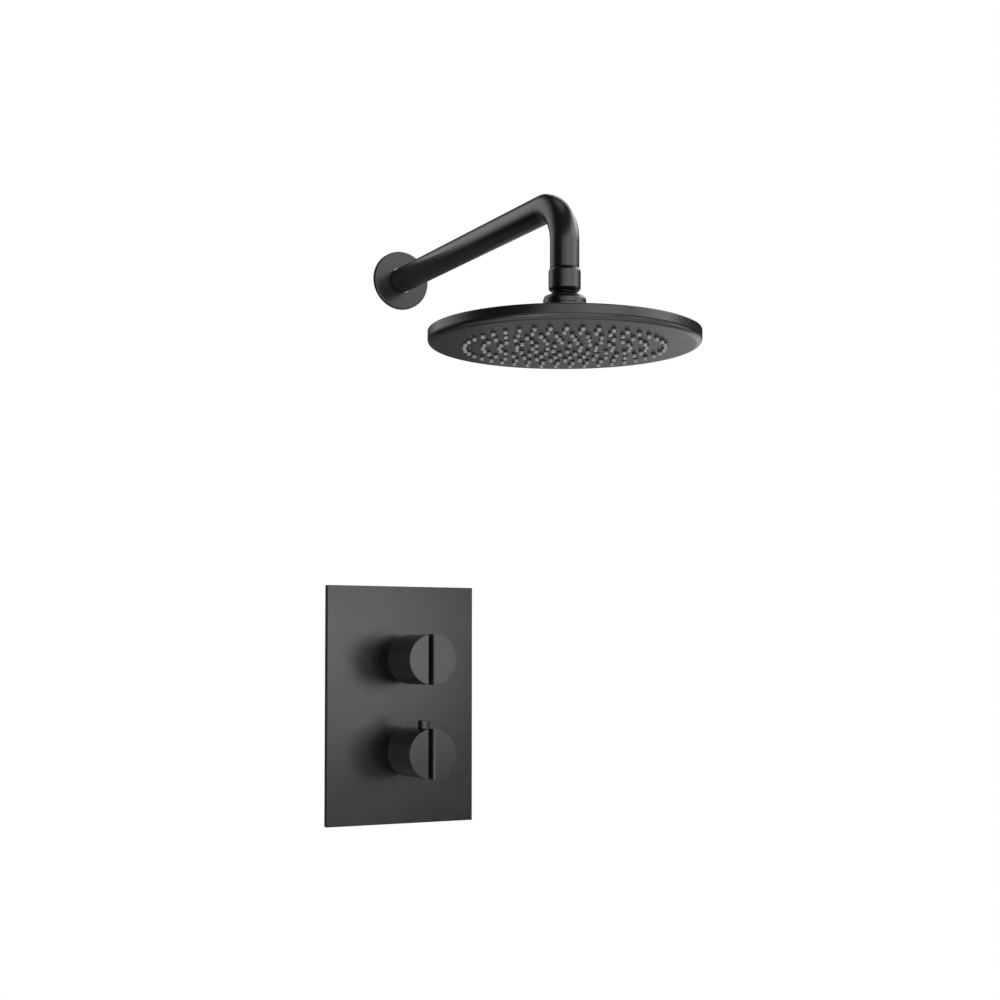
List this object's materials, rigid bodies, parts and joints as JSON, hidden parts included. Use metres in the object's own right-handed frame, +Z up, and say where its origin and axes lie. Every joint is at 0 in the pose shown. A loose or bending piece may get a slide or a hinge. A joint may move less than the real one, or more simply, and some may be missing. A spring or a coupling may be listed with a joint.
{
  "type": "concealed rain shower set",
  "caption": "Matte black wall arm with a round rain head on a ball joint, and a rectangular trim plate with slotted round knobs on a concealed valve.",
  "frame": {"origin": "middle of the trim plate, on the wall's finished surface (the gasket's back)", "axes": "+Z up, +Y into the wall, -Y out into the room, +X to the right as seen from the room"},
  "size_m": [0.23, 0.5267, 0.5835],
  "materials": {
    "matte_black": "fine matte black powder coat",
    "black_plastic": "moulded, matte",
    "grey_silicone": "soft silicone, matte",
    "rubber": "moulded rubber and foam, matte",
    "brass": "turned and cast, unplated",
    "copper": "drawn copper, slightly dulled",
    "steel": "stainless",
    "ceramic": null,
    "white_plastic": "moulded acetal, satin"
  },
  "bodies": {
    "fixed": {"bracket_screw_left": "steel", "bracket_screw_right": "steel", "cold_check_valve": "white_plastic", "cold_inlet_filter": "steel", "cold_inlet_nut": "brass", "connector_nut": "matte_black", "drop_elbow": "brass", "elbow_screw_left": "steel", "elbow_screw_right": "steel", "flange_seal": "rubber", "flow_cartridge": "brass", "flow_cartridge_nut": "brass", "flow_cartridge_seal": "rubber", "flow_disc_fixed": "ceramic", "flow_sleeve": "matte_black", "flow_sleeve_seal": "rubber", "hot_check_valve": "white_plastic", "hot_inlet_filter": "steel", "hot_inlet_nut": "brass", "inlet_screen": "steel", "inlet_washer": "rubber", "mixing_spring": "steel", "mounting_bracket": "steel", "plate_gasket": "rubber", "riser_lower_nut": "brass", "riser_pipe": "copper", "riser_upper_nut": "brass", "shower_arm": "matte_black", "temperature_cartridge": "brass", "temperature_cartridge_nut": "brass", "temperature_sleeve": "matte_black", "temperature_sleeve_seal": "rubber", "temperature_stop_ring": "black_plastic", "trim_plate": "matte_black", "valve_body": "brass", "wall_flange": "matte_black"},
    "flow_control": {"flow_knob": "matte_black", "flow_knob_insert": "brass", "flow_knob_screw": "steel", "flow_spindle": "brass", "flow_disc_moving": "ceramic"},
    "temperature_control": {"temperature_knob": "matte_black", "temperature_knob_insert": "brass", "temperature_knob_screw": "steel", "temperature_spindle": "brass", "stop_button_spring": "steel"},
    "stop_button": {"stop_button": "matte_black", "stop_latch": "steel"},
    "mixing_shuttle": {"wax_element": "copper", "mixing_shuttle": "black_plastic"},
    "swivel_ball": {"swivel_ball": "matte_black"},
    "rain_head": {"ball_collar": "matte_black", "ball_seat": "white_plastic", "ball_seal": "rubber", "head_shell": "matte_black", "face_plate": "matte_black", "nozzle_mat": "grey_silicone", "mat_clamp": "black_plastic", "head_seal": "rubber"}
  },
  "joints": [
    {"name": "flow_knob_turn", "type": "hinge", "parent": "fixed", "child": "flow_control", "pos_m": [0, -0.05, 0.046], "axis": [0, -1, 0], "range_deg": [-90, 0]},
    {"name": "temperature_knob_turn", "type": "hinge", "parent": "fixed", "child": "temperature_control", "pos_m": [0, -0.05, -0.046], "axis": [0, -1, 0], "range_deg": [-160, 100]},
    {"name": "stop_button_press", "type": "slide", "parent": "temperature_control", "child": "stop_button", "axis": [0, 0, -1], "range_m": [0, 0.0024], "stiffness_N_per_m": 900, "springref_m": -0.0012, "deforming": ["stop_button_spring"]},
    {"name": "mixing_shuttle_slide", "type": "slide", "parent": "fixed", "child": "mixing_shuttle", "axis": [0, 1, 0], "range_m": [-0.0015, 0.0015]},
    {"name": "head_swivel", "type": "hinge", "parent": "fixed", "child": "swivel_ball", "pos_m": [0, -0.342, 0.3428], "axis": [0, 0, 1], "continuous": true},
    {"name": "head_tilt", "type": "hinge", "parent": "swivel_ball", "child": "rain_head", "pos_m": [0, -0.342, 0.3428], "axis": [1, 0, 0], "range_deg": [-14, 14]}
  ],
  "couplings": [
    {"joint": "mixing_shuttle_slide", "follows": "temperature_knob_turn", "m_per_rad": 0.0005}
  ]
}
